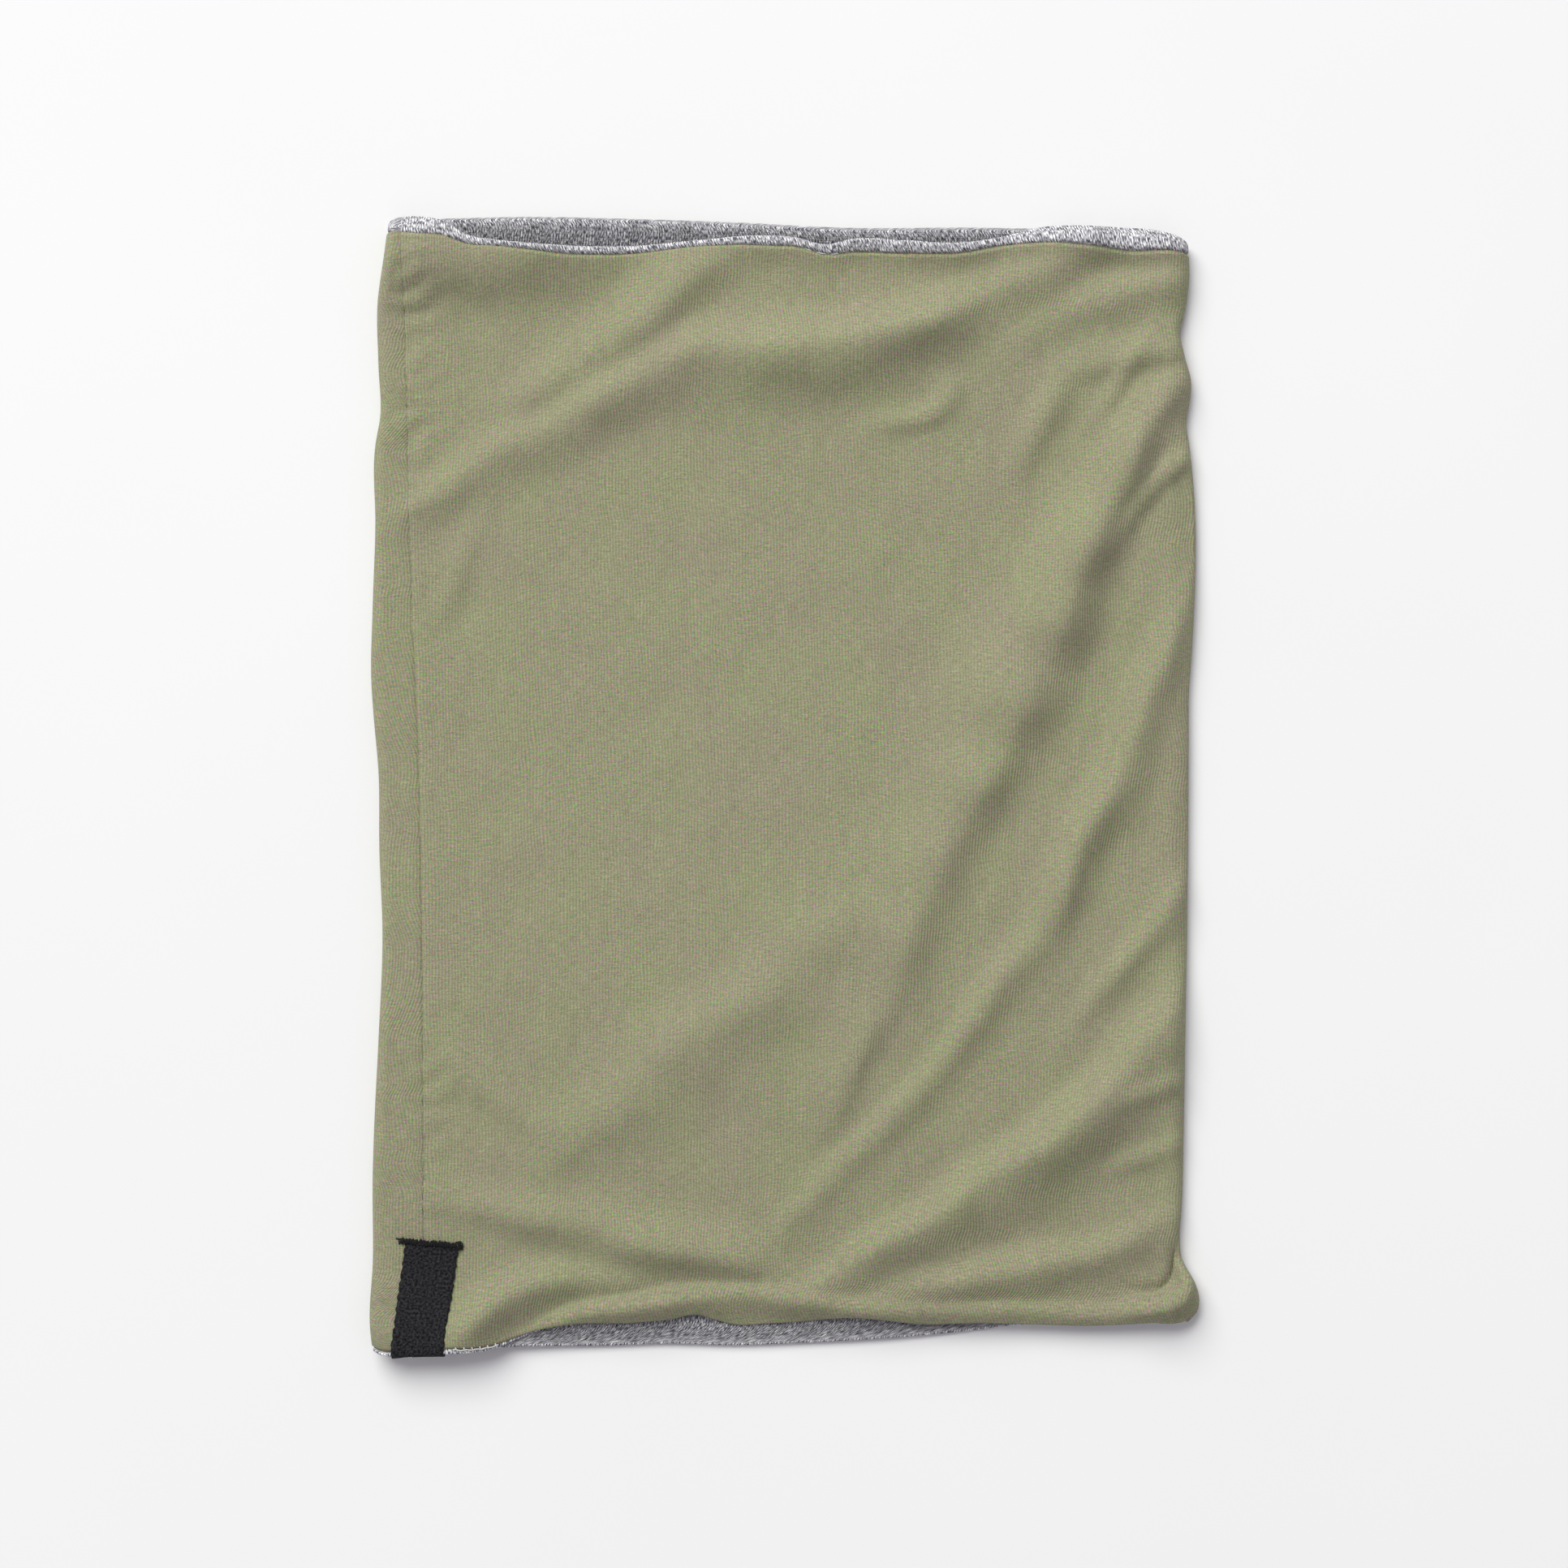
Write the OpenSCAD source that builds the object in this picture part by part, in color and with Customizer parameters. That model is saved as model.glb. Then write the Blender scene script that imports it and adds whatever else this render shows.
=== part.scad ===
// Double-layer neck gaiter, lying flat.
// Two knitted tubes, one inside the other, joined at both hems. The inner tube
// turns out over each hem, and a woven label is looped over the lower hem.
// X runs from the left side fold to the right one, Y from the lower hem to the
// upper one, and Z up from the surface that the gaiter lies on.
// The origin is under the middle of the part, on that surface.

/* [Tube] */
// Width of the tube laid flat, from side fold to side fold
flat_w = 242; // [210:1:280]
// Length of the tube, from hem to hem
tube_l = 334; // [240:1:420]
// Height of the tube as it lies, with the space between its two walls
lay_h = 11; // [10.5:0.5:18]

/* [Cloth] */
// Thickness of one knitted layer
cloth_t = 0.8; // [0.6:0.05:0.9]
// Space between the outer and inner layers, where the seam allowances lie
layer_gap = 0.9; // [0.8:0.05:1.1]
// How far the inner layer turns out over the upper hem
upper_turn = 5; // [3:0.5:12]
// How far the inner layer turns out over the lower hem
lower_turn = 2; // [2:0.5:12]
// Width of the seam allowances
allowance_w = 6; // [4:0.5:8]

/* [Seams] */
// Distance from the left side fold to the side seams
side_seam_in = 12; // [10:0.5:16]
// Length of one stitch and the space after it
stitch_pitch = 4; // [3:0.5:6]
// Diameter of the sewing thread
thread_d = 0.4; // [0.3:0.05:0.45]
// Length of the hand-closed gap in the lower hem seam
closing_l = 13; // [8:1:30]

/* [Label] */
// Width of the woven label tape
label_w = 15.2; // [12:0.1:20]
// Length of the label on the outside, from the hem to its stitched end
label_l = 32; // [20:0.5:45]
// Thickness of the label tape
label_t = 0.5; // [0.3:0.05:0.8]
// How far the label's upper end leans to the right of its lower end
label_lean = 4; // [0:0.5:6]
// Width of the zigzag row that holds the label
tack_w = 20; // [16:0.5:24]

/* [Hidden] */

// Two-layer wall, and the round fold that it makes at each side
wall_t = 2 * cloth_t + layer_gap;
fold_r = lay_h / 2;
fold_x = flat_w / 2 - fold_r;

// Distances from the middle of a side fold out to each face of the wall
outer_face = fold_r;
outer_back = fold_r - cloth_t;
inner_back = fold_r - wall_t + cloth_t;
inner_face = fold_r - wall_t;
wall_mid = fold_r - wall_t / 2;

// Round edge of a hem, which is half the wall's thickness
hem_r = wall_t / 2;

// Gap between the label and the wall, and how far the label stands out past
// the hem that it is looped over
label_clear = 0.15;
label_out = label_clear + label_t;

// Hem lines, set so that tube and label together are centred on the origin
y_upper = (tube_l + label_out) / 2;
y_lower = y_upper - tube_l;

// Hem joints, where the turned-out edge of the inner layer meets the outer one
joint_w = 0.9;
y_turn_upper = y_upper - upper_turn;
y_turn_lower = y_lower + lower_turn;
y_outer_upper = y_turn_upper - joint_w;
y_outer_lower = y_turn_lower + joint_w;

// Seam allowances are pressed thinner than the cloth, and the inner ones stop
// short of the hems
allowance_t = 0.6;
allowance_stop = allowance_w + 2;

// Side seams, on the upper wall near the left fold
seam_x = side_seam_in - flat_w / 2;
groove_w = 0.6;
groove_d = 0.5;
seam_l = y_outer_upper - y_outer_lower;

// Stitches, and how far their thread lies off the cloth
stitch_l = 0.7 * stitch_pitch;
thread_clear = 0.05;

// Hem threads are square cords sunk a little under the outer face
hem_thread_w = 0.5;
hem_thread_sink = 0.1;

// The label's middle at the hem, and its lean
label_x = label_w / 2 + 0.4 - fold_x;
label_slope = label_lean / label_l;

// Zigzag rows that hold the label, one on each side of the wall
zigzag_pitch = 2.2;
zigzag_l = 2.6;
zigzag_angle = 40;
y_zigzag = y_lower + label_l - zigzag_l / 2;
x_zigzag = label_x + label_slope * (y_zigzag - y_lower);

// Closing stitches, which begin to the right of the label
closing_x = label_x + label_w / 2 + 2.6;
closing_count = 5;
closing_pitch = closing_l / closing_count;
y_closing = y_turn_lower + joint_w / 2;

sage = [0.60, 0.60, 0.48];
sage_thread = [0.42, 0.42, 0.32];
heather = [0.62, 0.62, 0.64];
pale_thread = [0.86, 0.85, 0.82];
black_tape = [0.10, 0.10, 0.11];
black_thread = [0.05, 0.05, 0.06];

// ------------------------------------------------------- wall and its hems
// A wall section is drawn flat. Its first axis is the distance from the middle
// of a side fold, and its second is the place along the tube.

// Rectangle of a wall section
module layer(r0, r1, y0, y1) {
    translate([r0, y0]) square([r1 - r0, y1 - y0]);
}

// Half ring of cloth that turns round the wall's edge. side is 1 at the upper
// hem and -1 at the lower one
module turned_edge(y_hem, side, inside_r, outside_r) {
    y_turn = y_hem - side * hem_r;
    intersection() {
        translate([wall_mid, y_turn]) difference() {
            circle(r = outside_r, $fn = 48);
            circle(r = inside_r, $fn = 48);
        }
        translate([wall_mid - outside_r, side > 0 ? y_turn : y_turn - outside_r])
            square([2 * outside_r, outside_r]);
    }
}

// Straight stretch of the upper wall, between the two side folds
module flat_wall() {
    translate([fold_x, 0, 0]) rotate([0, -90, 0])
        linear_extrude(2 * fold_x) children();
}

// Half turn of the wall at the right side fold
module side_fold() {
    translate([fold_x, 0, 0]) rotate([-90, 0, 0]) rotate([0, 0, -90])
        rotate_extrude(angle = 180, $fn = 64) children();
}

// Whole flattened tube: a flat wall and a side fold, and the same again turned
// half way round the tube's own axis
module flattened_tube() {
    translate([0, 0, fold_r])
        for (turn = [0, 180])
            rotate([0, turn, 0]) {
                flat_wall() children();
                side_fold() children();
            }
}

// Block over the upper wall, from x0 to x1 and z0 to z1
module strip(x0, x1, y0, y1, z0, z1) {
    translate([x0, y0, z0]) cube([x1 - x0, y1 - y0, z1 - z0]);
}

// ------------------------------------------------------------------ threads

// One stitch along Y with blunt ends, centred on the origin
module stitch(length) {
    r = thread_d / 2;
    rotate([-90, 0, 0]) rotate_extrude($fn = 24) polygon([
        [0, -length / 2], [0.6 * r, -length / 2], [r, 0.5 * r - length / 2],
        [r, length / 2 - 0.5 * r], [0.6 * r, length / 2], [0, length / 2]
    ]);
}

// Straight row of stitches along the side seam, at height z
module side_seam_row(z) {
    count = floor(seam_l / stitch_pitch);
    first_y = y_outer_lower + (seam_l - (count - 1) * stitch_pitch) / 2;
    for (i = [0 : count - 1])
        translate([seam_x, first_y + i * stitch_pitch, z]) stitch(stitch_l);
}

// Zigzag row across the end of the label, at height z
module zigzag_row(z) {
    count = floor(tack_w / zigzag_pitch);
    translate([x_zigzag, y_zigzag, z]) rotate([0, 0, -atan(label_slope)])
        for (i = [0 : count - 1])
            translate([(i - (count - 1) / 2) * zigzag_pitch, 0, 0])
                rotate([0, 0, i % 2 == 0 ? zigzag_angle : -zigzag_angle]) stitch(zigzag_l);
}

// Square cord that runs round the tube in a hem joint
module hem_cord(y_joint) {
    outside = outer_face - hem_thread_sink;
    y0 = y_joint + (joint_w - hem_thread_w) / 2;
    flattened_tube() layer(outside - hem_thread_w, outside, y0, y0 + hem_thread_w);
}

// -------------------------------------------------------------- sub-parts

// Outer tube of rib knit, with its edges turned in at the hems and at the seam
module outer_tube() {
    color(sage) difference() {
        union() {
            flattened_tube() {
                union() {
                    layer(outer_back, outer_face, y_outer_lower, y_outer_upper);
                    layer(outer_back - allowance_t, outer_back,
                          y_outer_lower, y_outer_lower + allowance_w);
                    layer(outer_back - allowance_t, outer_back,
                          y_outer_upper - allowance_w, y_outer_upper);
                }
            }
            strip(seam_x - allowance_w, seam_x, y_outer_lower, y_outer_upper,
                  lay_h - cloth_t - allowance_t, lay_h - cloth_t);
        }
        strip(seam_x - groove_w / 2, seam_x + groove_w / 2, y_outer_lower - 1, y_outer_upper + 1,
              lay_h - groove_d, lay_h + 1);
    }
}

// Inner tube of heather jersey, which turns out over both hems
module inner_tube() {
    color(heather) difference() {
        union() {
            flattened_tube() {
                union() {
                    layer(inner_face, inner_back, y_lower + hem_r, y_upper - hem_r);
                    layer(outer_back, outer_face, y_turn_upper, y_upper - hem_r);
                    layer(outer_back, outer_face, y_lower + hem_r, y_turn_lower);
                    turned_edge(y_upper, 1, hem_r - cloth_t, hem_r);
                    turned_edge(y_lower, -1, hem_r - cloth_t, hem_r);
                }
            }
            strip(seam_x, seam_x + allowance_w,
                  y_outer_lower + allowance_stop, y_outer_upper - allowance_stop,
                  lay_h - wall_t + cloth_t, lay_h - wall_t + cloth_t + allowance_t);
        }
        strip(seam_x - groove_w / 2, seam_x + groove_w / 2, y_outer_lower, y_outer_upper,
              lay_h - wall_t - 1, lay_h - wall_t + groove_d);
    }
}

// Stitches that show in the groove of the outer tube's side seam
module outer_side_seam_thread() {
    color(sage_thread) side_seam_row(lay_h - groove_d + thread_clear + thread_d / 2);
}

// Stitches that show in the groove of the inner tube's side seam
module inner_side_seam_thread() {
    color(pale_thread)
        side_seam_row(lay_h - wall_t + groove_d - thread_clear - thread_d / 2);
}

// Seam thread that joins the two tubes at the upper hem
module upper_hem_thread() {
    color(pale_thread) hem_cord(y_outer_upper);
}

// Seam thread that joins the two tubes at the lower hem, open at the gap
// through which the gaiter was turned right side out
module lower_hem_thread() {
    color(pale_thread) difference() {
        hem_cord(y_turn_lower);
        strip(closing_x, closing_x + closing_l, y_turn_lower, y_outer_lower,
              lay_h - wall_t, lay_h + 1);
    }
}

// Hand stitches that close that gap
module hem_closing_thread() {
    color(pale_thread)
        for (i = [0 : closing_count - 1])
            translate([closing_x + (i + 0.5) * closing_pitch, y_closing,
                       lay_h - hem_thread_sink - thread_d / 2])
                rotate([0, 0, 90]) stitch(0.85 * closing_pitch);
}

// Woven tape looped round the upper wall's lower hem
module label() {
    tape_in = hem_r + label_clear;
    tape_out = tape_in + label_t;
    y_low = y_lower - label_out - 1;
    y_end = y_lower + label_l;
    x_low = label_x - label_w / 2 + label_slope * (y_low - y_lower);
    x_end = label_x - label_w / 2 + label_lean;
    color(black_tape) intersection() {
        translate([0, 0, fold_r]) flat_wall() {
            union() {
                layer(wall_mid + tape_in, wall_mid + tape_out, y_lower + hem_r, y_end);
                layer(wall_mid - tape_out, wall_mid - tape_in, y_lower + hem_r, y_end);
                turned_edge(y_lower, -1, tape_in, tape_out);
            }
        }
        linear_extrude(2 * lay_h) polygon([
            [x_low, y_low], [x_low + label_w, y_low], [x_end + label_w, y_end], [x_end, y_end]
        ]);
    }
}

// Zigzag that shows on the outside of the label
module label_needle_thread() {
    color(black_thread) zigzag_row(lay_h + label_out + thread_clear + thread_d / 2);
}

// The same row's other thread, inside the tube
module label_bobbin_thread() {
    color(black_thread)
        zigzag_row(lay_h - wall_t - label_out - thread_clear - thread_d / 2);
}

outer_tube();
inner_tube();
outer_side_seam_thread();
inner_side_seam_thread();
upper_hem_thread();
lower_hem_thread();
hem_closing_thread();
label();
label_needle_thread();
label_bobbin_thread();
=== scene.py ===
"""Looks for a reversible two-layer neck gaiter that lies flat: a sage knit tube outside and a grey heather
tube inside, joined at both hems, with a black tape label wrapped round the lower hem.
Shapes are worked out in millimetres in the frame's own axes, and meshes are made in metres."""

import math

import bpy
import numpy as np
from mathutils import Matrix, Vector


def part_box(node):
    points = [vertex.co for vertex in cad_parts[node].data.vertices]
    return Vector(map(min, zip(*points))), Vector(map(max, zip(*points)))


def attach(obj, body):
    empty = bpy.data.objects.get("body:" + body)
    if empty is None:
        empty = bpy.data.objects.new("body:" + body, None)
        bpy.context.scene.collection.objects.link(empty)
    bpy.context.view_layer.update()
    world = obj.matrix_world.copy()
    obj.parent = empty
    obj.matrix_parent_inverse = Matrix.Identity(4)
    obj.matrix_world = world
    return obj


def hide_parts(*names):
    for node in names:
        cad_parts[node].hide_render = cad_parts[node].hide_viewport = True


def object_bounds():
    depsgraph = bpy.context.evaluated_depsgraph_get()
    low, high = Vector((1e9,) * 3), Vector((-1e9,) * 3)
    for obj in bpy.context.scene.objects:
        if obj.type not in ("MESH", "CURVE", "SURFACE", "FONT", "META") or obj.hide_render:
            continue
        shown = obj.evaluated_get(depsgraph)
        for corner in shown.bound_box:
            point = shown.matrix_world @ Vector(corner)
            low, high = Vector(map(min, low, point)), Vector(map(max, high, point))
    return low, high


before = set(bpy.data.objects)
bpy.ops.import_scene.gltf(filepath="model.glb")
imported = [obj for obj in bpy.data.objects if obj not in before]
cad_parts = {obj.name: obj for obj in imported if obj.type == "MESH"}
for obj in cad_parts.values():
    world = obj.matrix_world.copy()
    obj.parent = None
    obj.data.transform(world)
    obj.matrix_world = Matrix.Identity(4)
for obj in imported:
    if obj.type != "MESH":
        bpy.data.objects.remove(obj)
cad_low, cad_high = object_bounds()

MM = 0.001


def node_box(node):
    """The lowest and highest corner of a CAD node, in millimetres."""
    low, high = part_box(node)
    return np.array(low) / MM, np.array(high) / MM


# ---------------------------------------------------------------- sizes, in millimetres

half_width = cad_high.x / MM  # from the middle to the flat tube's side fold
half_length = cad_high.y / MM  # from the middle to a hem
cloth = 0.75  # thickness of one knit layer
layer_offset = 0.6  # from the middle of the wall to the middle of each of its layers
half_wall = layer_offset + cloth / 2
fold_radius = 2.2  # of the side folds, at the middle of the wall
seam_nominal = 12.0  # from the left fold to the side seam, along the cloth
front_span = 240.0  # of cloth across the front, from fold to fold
loop_span = 2 * front_span
lowest_relief = 2 * half_wall - 2 * fold_radius  # where the front wall would touch the back wall

label_top = node_box("label")[1][1]
closing_low, closing_high = node_box("hem_closing_thread")


def curve_through(points):
    """A smooth function through (place, value) points in order, and level beyond them."""
    place, value = np.array(points, float).T
    slope = np.gradient(value, place)

    def at(x):
        x = np.clip(x, place[0], place[-1])
        i = np.clip(np.searchsorted(place, x, side="right") - 1, 0, len(place) - 2)
        span = place[i + 1] - place[i]
        t = (x - place[i]) / span
        start = (1 + 2 * t) * (1 - t) ** 2 * value[i] + t * (1 - t) ** 2 * span * slope[i]
        end = t * t * (3 - 2 * t) * value[i + 1] + t * t * (t - 1) * span * slope[i + 1]
        return start + end

    return at


def ease(t):
    """0 below 0, 1 above 1, and smooth between."""
    t = np.clip(t, 0, 1)
    return t * t * (3 - 2 * t)


# ---------------------------------------------------------------- outline of the lying tube
# How far each fold and hem wanders outward from the CAD's straight edge. Places are along the edge.

left_wander = curve_through([
    (-168, 0.0), (-160, 1.0), (-140, 0.4), (-116, 0.5), (-100, 0.0), (-76, -1.2), (-44, -2.4), (-20, -1.5),
    (4, -1.2), (20, 0.2), (30, 0.9), (52, 0.5), (76, -0.3), (100, -0.3), (108, -1.7), (124, -1.2),
    (142, -1.0), (156, -3.0), (168, -4.6),
])
right_wander = curve_through([
    (-160, -3.6), (-157.5, -1.2), (-155.8, 0.6), (-152.7, 1.5), (-148, 0.6), (-143.5, -1.9), (-140, -3.6),
    (-136, -4.1), (-124, -3.5),
    (-100, -2.9), (-68, -2.4), (-40, -1.9), (12, -1.5), (28, -1.4), (40, -0.5), (92, -0.4), (100, -1.3),
    (107, -2.2), (113, -1.2), (118, -0.7), (126, -2.6), (133, -4.0), (140, -2.5), (148, -1.4), (164, -2.0),
])
upper_front = curve_through([
    (-118, -2.4), (-114, -0.8), (-110, -0.3), (-101, -1.7), (-92, -6.5), (-86, -7.5), (-58, -9.3),
    (-47, -9.0),
    (-27, -7.3), (-6, -5.9), (3, -6.4), (12, -8.5), (20, -6.9), (36, -7.4), (51, -8.2), (63, -6.5),
    (77, -3.1),
    (89, -2.9), (100, -3.4), (108, -4.0), (113, -5.2), (118, -7.6), (121, -10.5),
])
upper_back = curve_through([
    (-118, -2.4), (-114, -1.0), (-100, -0.5), (-77, 0.0), (-49, -0.5), (-13, -1.7), (16, -3.1), (56, -3.1),
    (77, -3.2), (100, -3.8), (113, -5.6), (118, -7.6), (121, -10.5),
])
lower_front = curve_through([
    (-122, -1.0), (-120, 0.1), (-110, 0.4), (-97, 0.0), (-86, -0.9), (-79, -3.4), (-72, -6.0), (-64, -7.8),
    (-44, -8.5), (-34, -9.5), (-28, -10.9), (-21, -9.0), (-15, -7.5), (-3, -8.0), (8, -9.2), (18, -10.1),
    (27, -9.4), (40, -7.9), (56, -8.2), (72, -7.7), (98, -7.7), (106, -8.4), (116, -8.4), (120, -10.0),
    (123, -12.6),
])
lower_back = curve_through([
    (-122, -1.0), (-120, 0.1), (-97, 0.0), (-84, -0.9), (-49, -1.3), (-36, -1.8), (-15, -1.3), (6, -2.1),
    (20, -2.8), (46, -4.7), (72, -7.3), (98, -8.6), (116, -9.2), (120, -10.4), (123, -12.6),
])
seam_line = curve_through([
    (-167, -105.8), (-127, -106.3), (-44, -106.7), (4, -107.6), (63, -110.0), (127, -111.6), (167, -112.4),
])
# How wide the grey lining shows outside each hem, measured on the cloth from the turn. Below 0 the sage
# cloth goes round the turn. Places are x on the front wall. The back wall has one width, which meets the
# front's at the side folds.
upper_rim = curve_through([
    (-119, 0.8), (-115, 3.0), (-108, 4.6), (-100, 3.4), (-92, 1.7), (-58, 1.5), (-40, 1.2), (-27, 1.0),
    (-5, 1.9), (12, 1.7), (20, 2.6), (51, 1.8), (63, 1.6), (77, 4.0), (89, 5.0), (107, 5.6), (114, 4.0),
    (120, 2.0),
])
lower_rim = curve_through([
    (-122, 0.3), (-112, 0.5), (-96, 0.6), (-86, 0.2), (-78, -0.5), (-40, -0.8), (120, -0.8),
])
back_rim = 1.6


# ---------------------------------------------------------------- folds of the front wall
# Each fold is a ridge: its widths on the lit side (up and to the left) and on the shaded side, evenly
# spaced along it, and its crest from left to right as (x, y, height).

foot = 1.2  # a ridge ends this many widths from its crest
FOLDS = {
    "long_right": ((14, 22, 30, 34, 32, 20, 11), (10, 13, 16, 17, 17, 13, 8), [
        (2, -108, 0), (10, -96, 0.9), (19, -82, 1.8), (28, -66, 2.8), (35, -50, 3.4), (42, -32, 4.0),
        (50, -14, 4.8), (59, 2, 5.6), (66, 15, 6.2), (72, 28, 6.6), (78, 42, 7.0), (84.5, 56, 7.6),
        (91, 70, 7.6), (97, 84, 7.0), (103, 98, 5.8), (111, 110, 4.4), (122, 121, 2.6)]),
    "edge_branch": ((5, 5), (4.5, 5), [
        (94, 66, 0), (100, 75, 0.8), (106, 84.5, 1.6), (112, 91, 2.2), (122, 97.5, 3.0)]),
    "second_right": ((7, 8, 10, 13, 11), (11, 12, 12, 15, 11), [
        (-2, -140, 0), (3, -128, 1.2), (15, -114, 1.9), (31, -100, 2.3), (45, -85, 2.6), (54, -72, 2.8),
        (64, -58, 2.9), (75, -44, 3.4), (81, -32, 4.2), (87, -20, 4.8), (95, -6, 5.2), (101, 9, 5.2),
        (108, 27, 4.6), (115, 45, 3.6), (122, 58, 2.6)]),
    "lower_right": ((8, 10, 12, 11), (12, 22, 28, 22), [
        (-8, -151, 0), (6, -148.5, 2.6), (22, -140, 4.6), (40, -130, 6.0), (54, -120, 7.0), (68, -111, 7.6),
        (82, -100.5, 7.6), (93, -92.5, 7.0), (105, -79.5, 6.0), (113, -69.5, 4.8), (121, -58, 3.2)]),
    "above_lower_hem": ((7, 10, 10), (12, 15, 15), [
        (8, -156, 0), (25, -152.5, 2.0), (42, -148.5, 3.2), (58, -145, 4.0), (72, -143, 4.2),
        (86, -140.5, 3.8),
        (98, -136, 2.8), (108, -131, 1.8), (116, -127.5, 1.0)]),
    "small_right": ((8, 8), (9, 11), [
        (80, -82, 0), (92, -64, 1.7), (100, -52, 2.5), (108, -42, 2.8), (116, -32, 2.6), (122, -26, 2.2)]),
    "broad_middle": ((24, 24), (22, 30, 22), [
        (-80, -128, 0), (-62, -107, 2.0), (-47, -93, 2.8), (-30, -79, 3.2), (-10, -64, 3.2), (8, -50, 2.6),
        (24, -34, 1.4), (34, -18, 0)]),
    "thin_middle": ((7, 7), (7, 7), [
        (8, -110, 0), (15, -96, 1.0), (21, -82, 1.2), (27, -68, 0)]),
    "left_valley_lip": ((10, 17, 13), (8, 14, 13), [
        (-106, -123, 0.8), (-85, -127, 2.4), (-68, -130, 3.4), (-50, -133.5, 4.6), (-32, -137, 4.8),
        (-15, -140.5, 3.6), (-2, -144, 1.6), (6, -147, 0)]),
    "beside_label": ((10, 10, 7), (13, 12, 8), [
        (-97, -165, 1.5), (-90, -157, 3.6), (-81, -150, 4.6), (-70, -146, 4.2), (-59, -145.5, 2.4),
        (-48, -146, 1.0), (-38, -147, 0)]),
    "lower_lip": ((5, 5), (11, 11, 10), [
        (-76, -162, 0.4), (-64, -157, 2.8), (-48, -153, 4.0), (-30, -151.5, 4.2), (-12, -151, 3.6),
        (6, -151.5, 2.6), (24, -154, 2.2), (50, -155, 2.2), (80, -155, 1.6), (100, -156, 0)]),
    "upper_left": ((12, 18, 23), (11, 14, 15), [
        (-90, 107, 0), (-76, 114.5, 1.8), (-62, 122, 3.0), (-49, 130.5, 4.2), (-40, 137, 4.8),
        (-32, 144, 4.8),
        (-24, 151, 4.2), (-14, 157, 3.0), (-2, 161, 1.6)]),
    "upper_arch": ((12, 13, 17, 15, 12), (13, 18, 34, 22, 13), [
        (-112, 78, 1.2), (-97, 88, 2.8), (-82, 98, 3.6), (-65, 107, 4.2), (-50, 115, 4.8), (-36, 122.5, 5.2),
        (-22, 127.5, 6.2), (-5, 129.5, 7.4), (12, 130, 8.2), (28, 131.5, 8.0), (42, 135.5, 6.8),
        (54, 140.5, 5.4), (66, 145.5, 4.4), (78, 150.5, 3.2), (90, 155, 1.6)]),
    "arch_crease": ((7, 7), (6, 7), [
        (22, 106, 0), (34, 106, 1.4), (43, 109, 1.9), (49, 115, 1.4), (52, 123, 0)]),
    "corner_spur": ((9, 9), (8, 10), [
        (66, 88, 0), (72, 101, 2.0), (78, 112, 2.4), (84, 121, 0.8)]),
    "corner_low": ((14, 14), (8, 9), [
        (70, 117, 0), (86, 122, 1.2), (102, 125.5, 2.0), (114, 127.5, 2.4), (122, 128, 2.4)]),
    "corner_high": ((10, 10), (13, 13), [
        (60, 125, 0), (76, 134, 1.5), (90, 141.5, 2.0), (104, 145.5, 2.4), (114, 147.5, 2.8),
        (122, 148, 2.8)]),
    "corner_wrinkle": ((6, 6), (6, 6), [
        (88, 104, 0), (96, 114, 1.2), (102, 124, 1.4), (108, 136, 0.6)]),
    "left_dart": ((9, 9), (8, 8), [
        (-106, 42, 0), (-98, 58, 0.8), (-92, 72, 1.0), (-86, 86, 0)]),
    "left_low_dart": ((11, 11), (10, 10), [
        (-105, -70, 0), (-96, -83, 1.1), (-86, -92, 1.5), (-76, -98, 1.1), (-64, -103, 0)]),
    "edge_wrinkle_high": ((5, 5), (6, 6), [
        (96, -96, 0), (104, -92, 1.0), (112, -88.5, 1.4), (122, -86, 1.4)]),
    "edge_wrinkle_low": ((5, 5), (7, 7), [
        (92, -116, 0), (102, -111, 1.1), (111, -107, 1.5), (122, -104, 1.5)]),
    "hem_rise_left": ((9, 8), (34, 32, 20), [
        (-125, 161, 5.0), (-112, 161.5, 6.5), (-100, 161.5, 7.6), (-88, 160.5, 7.6), (-75, 160, 6.8),
        (-55, 158, 3.6), (-42, 158, 1.2), (-30, 159, 0)]),
    "hem_rise_right": ((7, 7), (11, 13, 14), [
        (-14, 160, 0.8), (20, 159, 3.0), (60, 159.5, 3.2), (80, 160.5, 4.2), (100, 160.3, 4.6),
        (113, 158.8, 4.2), (122, 156, 3.4)]),
    "corner_roll": ((6, 3.8, 3.6), (7, 6, 5), [
        (80, -157, 0.3), (95, -155.6, 2.0), (104, -155.2, 3.4), (112, -154.8, 4.4), (117, -152.6, 4.8),
        (119.2, -148.5, 4.8), (119, -144, 4.0), (117.5, -139, 1.6), (117, -134, 0)]),
    "corner_groove": ((4, 3.4, 3.4), (3, 3, 3), [
        (96, -148.6, 0), (101, -149.8, -0.6), (106, -151, -1.2), (110, -150.9, -1.7), (112.6, -149.4, -2.1),
        (114.2, -147, -2.3), (114.9, -143.5, -2.1), (115.3, -139.5, -1.5), (116, -134, 0)]),
}


def walk(points, step=1.5):
    """Points about step mm apart on a Catmull-Rom curve through given points (x, y, height)."""
    p = np.array(points, float)
    p = np.vstack([2 * p[0] - p[1], p, 2 * p[-1] - p[-2]])
    out = []
    for a, b, c, d in zip(p[:-3], p[1:-2], p[2:-1], p[3:]):
        count = max(2, int(np.linalg.norm((c - b)[:2]) / step))
        t = np.linspace(0, 1, count, endpoint=False)[:, None]
        out.append(0.5 * (2 * b + (c - a) * t + (2 * a - 5 * b + 4 * c - d) * t**2
                          + (3 * b - a - 3 * c + d) * t**3))
    out.append(p[-2:-1])
    return np.vstack(out)


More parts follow.
